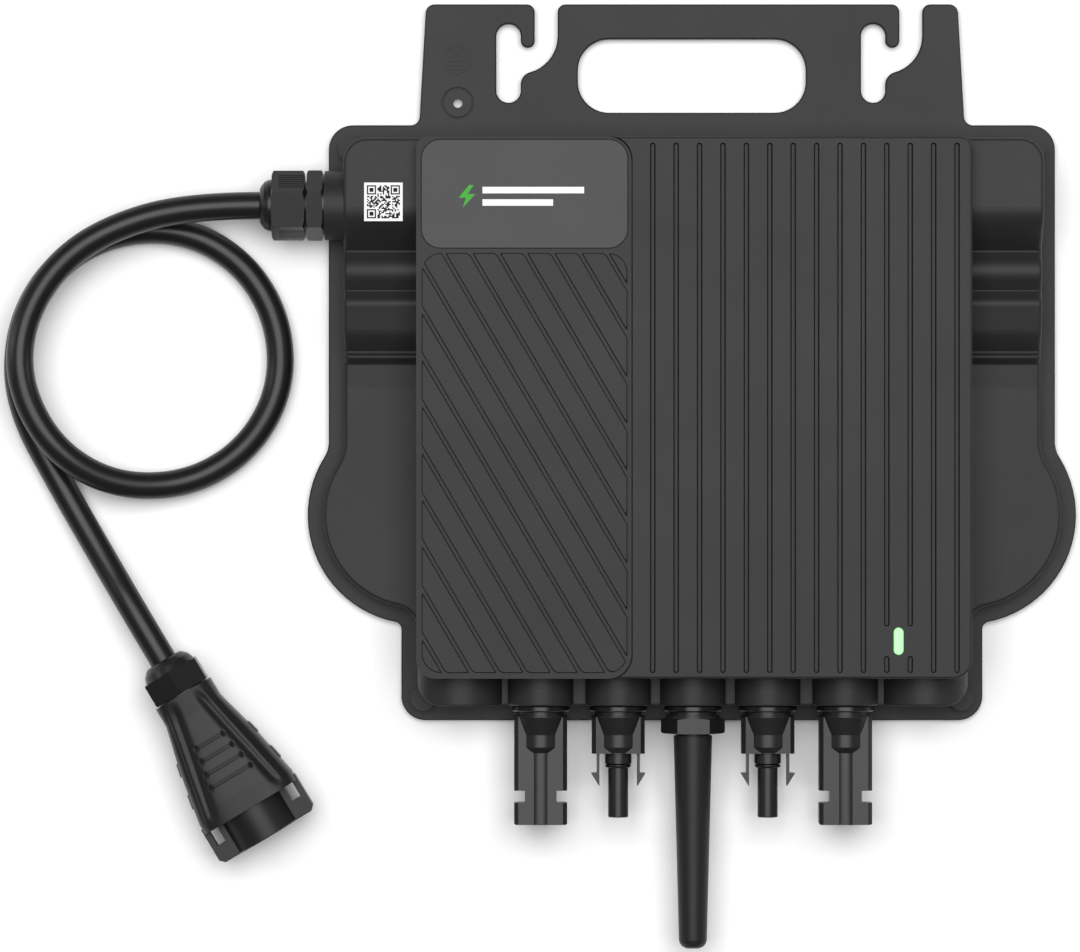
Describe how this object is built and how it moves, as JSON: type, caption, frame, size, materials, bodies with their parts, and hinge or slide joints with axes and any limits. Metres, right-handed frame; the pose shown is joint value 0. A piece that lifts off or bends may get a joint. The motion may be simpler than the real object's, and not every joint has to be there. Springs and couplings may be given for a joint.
{
  "type": "micro inverter",
  "caption": "Flat black solar micro inverter with a hook-slotted mounting plate, DC connectors, a whip antenna and a looped AC cable ending in a flared plug.",
  "frame": {"origin": "on the flat back face, at mid width and at mid height of the enclosure below the tab", "axes": "+Z out of the front cover, +Y towards the carrying handle, +X to the right of someone facing the front cover"},
  "size_m": [0.3856, 0.3384, 0.0403],
  "materials": {
    "coated_casting": "black powder coat, fine texture",
    "black_plastic": "moulded, semi-matt",
    "gloss_black": "smooth, semi-gloss",
    "black_rubber": "smooth, matt",
    "cable_jacket": "smooth, semi-matt",
    "steel": "plain",
    "brass": "plain",
    "tinned_copper": "tinned",
    "label_paper": "matt print",
    "lamp_green": "translucent, lit green",
    "board_green": "solder mask",
    "ferrite": "sintered, matt",
    "copper_winding": "enamelled copper",
    "can_sleeve": "sleeved can",
    "film_case": "epoxy-filled case",
    "relay_case": "moulded",
    "spreader_metal": "milled",
    "pad_silicone": "soft silicone",
    "terminal_green": "moulded",
    "lead_jacket": "silicone insulation"
  },
  "bodies": {
    "enclosure": {"ac_cable": "cable_jacket", "ac_leads": "lead_jacket", "ac_terminal": "terminal_green", "antenna_base": "black_plastic", "antenna_core": "tinned_copper", "antenna_lead": "cable_jacket", "antenna_whip": "black_rubber", "board_screws": "steel", "cable_tail": "cable_jacket", "capacitors": "can_sleeve", "choke_core": "ferrite", "choke_winding": "copper_winding", "circuit_board": "board_green", "code_label": "label_paper", "cover_gasket": "black_rubber", "cover_screws": "steel", "dc_leads": "lead_jacket", "dc_plug_contact_left": "tinned_copper", "dc_plug_contact_right": "tinned_copper", "dc_plug_left": "black_plastic", "dc_plug_right": "black_plastic", "dc_plug_rings": "black_rubber", "dc_socket_contact_left": "tinned_copper", "dc_socket_contact_right": "tinned_copper", "dc_socket_left": "black_plastic", "dc_socket_right": "black_plastic", "film_capacitors": "film_case", "front_housing": "coated_casting", "gland_body": "black_plastic", "gland_seal": "black_rubber", "gland_washer": "black_rubber", "heat_spreader": "spreader_metal", "light_pipe": "lamp_green", "mounting_plate": "coated_casting", "name_panel": "gloss_black", "panel_seals": "black_rubber", "plug_cable_end": "cable_jacket", "plug_cable_seal": "black_rubber", "plug_contacts": "brass", "plug_cores": "lead_jacket", "plug_face_seal": "black_rubber", "plug_insert": "black_plastic", "plug_shell": "black_plastic", "power_transistors": "relay_case", "radio_board": "board_green", "radio_shield": "steel", "relay": "relay_case", "status_lamp": "lamp_green", "thermal_pad": "pad_silicone", "transformer_cores": "ferrite", "transformer_windings": "copper_winding"},
    "gland_claw": {"gland_claw": "black_plastic"},
    "gland_cap_nut": {"gland_cap_nut": "black_plastic"},
    "plug_claw": {"plug_claw": "black_plastic"},
    "plug_nut": {"plug_nut": "black_plastic"},
    "latch_left_outer": {"latch_left_outer": "black_plastic"},
    "latch_left_inner": {"latch_left_inner": "black_plastic"},
    "latch_right_outer": {"latch_right_outer": "black_plastic"},
    "latch_right_inner": {"latch_right_inner": "black_plastic"}
  },
  "joints": [
    {"name": "gland_claw_slide", "type": "slide", "parent": "enclosure", "child": "gland_claw", "axis": [-1, 0, 0], "range_m": [0, 0.003]},
    {"name": "gland_nut_turn", "type": "hinge", "parent": "gland_claw", "child": "gland_cap_nut", "pos_m": [-0.1446, 0.0775, 0.018], "axis": [-1, 0, 0], "range_deg": [0, 720]},
    {"name": "plug_claw_slide", "type": "slide", "parent": "enclosure", "child": "plug_claw", "axis": [-0.515, 0.8572, 0], "range_m": [0, 0.003]},
    {"name": "plug_nut_turn", "type": "hinge", "parent": "plug_claw", "child": "plug_nut", "pos_m": [-0.1859, -0.0912, 0.0142], "axis": [-0.515, 0.8572, 0], "range_deg": [0, 720]},
    {"name": "latch_left_outer_bend", "type": "hinge", "parent": "enclosure", "child": "latch_left_outer", "pos_m": [-0.0339, -0.119, 0.019], "axis": [0, 0, 1], "range_deg": [0, 12], "stiffness_Nm_per_rad": 0.02},
    {"name": "latch_left_inner_bend", "type": "hinge", "parent": "enclosure", "child": "latch_left_inner", "pos_m": [-0.0195, -0.119, 0.019], "axis": [0, 0, -1], "range_deg": [0, 12], "stiffness_Nm_per_rad": 0.02},
    {"name": "latch_right_outer_bend", "type": "hinge", "parent": "enclosure", "child": "latch_right_outer", "pos_m": [0.0339, -0.119, 0.019], "axis": [0, 0, -1], "range_deg": [0, 12], "stiffness_Nm_per_rad": 0.02},
    {"name": "latch_right_inner_bend", "type": "hinge", "parent": "enclosure", "child": "latch_right_inner", "pos_m": [0.0195, -0.119, 0.019], "axis": [0, 0, 1], "range_deg": [0, 12], "stiffness_Nm_per_rad": 0.02}
  ],
  "couplings": [
    {"joint": "gland_claw_slide", "follows": "gland_nut_turn", "m_per_rad": 0.0002387},
    {"joint": "plug_claw_slide", "follows": "plug_nut_turn", "m_per_rad": 0.0002387}
  ]
}
